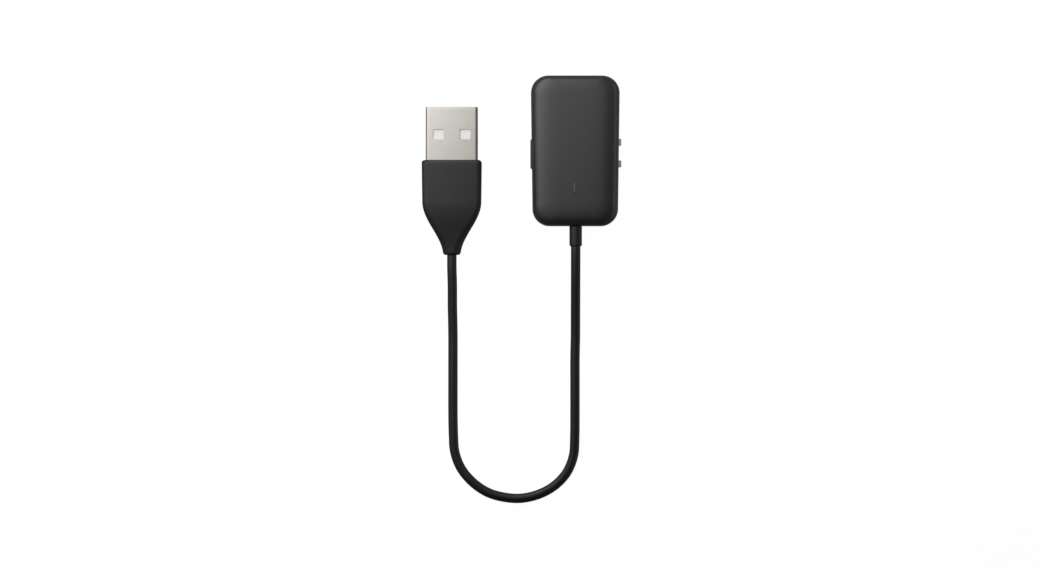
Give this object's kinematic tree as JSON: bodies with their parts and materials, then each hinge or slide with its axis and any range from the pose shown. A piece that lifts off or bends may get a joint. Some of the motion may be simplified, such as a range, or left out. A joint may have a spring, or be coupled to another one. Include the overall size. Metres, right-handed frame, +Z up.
{
  "type": "charging cable",
  "caption": "Short USB charging cable with a clip-on pod: latch button, steel prongs, spring contacts and a USB-A plug.",
  "frame": {"origin": "on the table under the middle of the pod", "axes": "+Z up, +Y along the pod away from its cable, +X towards the steel prongs"},
  "size_m": [0.046, 0.0987, 0.0102],
  "materials": {
    "black_polycarbonate": "fine matte grain",
    "black_polymer": "fine matte grain",
    "overmold_rubber": "soft matte",
    "cable_rubber": "soft satin",
    "clear_polycarbonate": "frosted",
    "green_board": "solder mask",
    "chip_resin": "moulded epoxy",
    "component_ceramic": "sintered",
    "led_white": "clear lens",
    "gold_plate": "gold plate",
    "spring_steel": "drawn wire",
    "screw_steel": "zinc plate",
    "stainless_steel": "stamped and tumbled",
    "nickel_shell": "satin nickel plate",
    "white_insulator": "glass-filled polymer",
    "inner_mold_plastic": "natural polyethylene",
    "red_insulation": "smooth",
    "black_insulation": "smooth",
    "green_insulation": "smooth",
    "white_insulation": "smooth"
  },
  "bodies": {
    "pod": {"top_cover": "black_polycarbonate", "base_cover": "black_polycarbonate", "base_screws": "screw_steel", "light_pipe": "clear_polycarbonate", "circuit_board": "green_board", "board_screws": "screw_steel", "control_chip": "chip_resin", "board_components": "component_ceramic", "status_led": "led_white", "contact_block": "black_polymer", "pin_barrels": "gold_plate", "plunger_spring_1": "spring_steel", "plunger_spring_2": "spring_steel", "plunger_spring_3": "spring_steel", "plunger_spring_4": "spring_steel", "latch_springs": "spring_steel", "strain_relief": "cable_rubber", "pod_cable_end": "cable_rubber", "pod_red_wire": "red_insulation", "pod_black_wire": "black_insulation", "pod_green_wire": "green_insulation", "pod_white_wire": "white_insulation", "plug_red_wire": "red_insulation", "plug_black_wire": "black_insulation", "plug_green_wire": "green_insulation", "plug_white_wire": "white_insulation", "cable": "cable_rubber", "plug_cable_end": "cable_rubber", "crimp_collar": "screw_steel", "plug_inner_mold": "inner_mold_plastic", "plug_overmold": "overmold_rubber", "plug_shell": "nickel_shell", "plug_insulator": "white_insulator", "plug_contacts": "gold_plate"},
    "latch": {"latch_slider": "black_polymer", "latch_prongs": "stainless_steel"},
    "contact_pin_1": {"plunger_1": "gold_plate"},
    "contact_pin_2": {"plunger_2": "gold_plate"},
    "contact_pin_3": {"plunger_3": "gold_plate"},
    "contact_pin_4": {"plunger_4": "gold_plate"}
  },
  "joints": [
    {"name": "latch_slide", "type": "slide", "parent": "pod", "child": "latch", "axis": [1, 0, 0], "range_m": [0, 0.0008], "stiffness_N_per_m": 500, "springref_m": -0.001, "deforming": ["latch_springs"]},
    {"name": "contact_slide_1", "type": "slide", "parent": "pod", "child": "contact_pin_1", "axis": [0, 0, 1], "range_m": [0, 0.0008], "stiffness_N_per_m": 500, "springref_m": -0.0005, "deforming": ["plunger_spring_1"]},
    {"name": "contact_slide_2", "type": "slide", "parent": "pod", "child": "contact_pin_2", "axis": [0, 0, 1], "range_m": [0, 0.0008], "stiffness_N_per_m": 500, "springref_m": -0.0005, "deforming": ["plunger_spring_2"]},
    {"name": "contact_slide_3", "type": "slide", "parent": "pod", "child": "contact_pin_3", "axis": [0, 0, 1], "range_m": [0, 0.0008], "stiffness_N_per_m": 500, "springref_m": -0.0005, "deforming": ["plunger_spring_3"]},
    {"name": "contact_slide_4", "type": "slide", "parent": "pod", "child": "contact_pin_4", "axis": [0, 0, 1], "range_m": [0, 0.0008], "stiffness_N_per_m": 500, "springref_m": -0.0005, "deforming": ["plunger_spring_4"]}
  ]
}
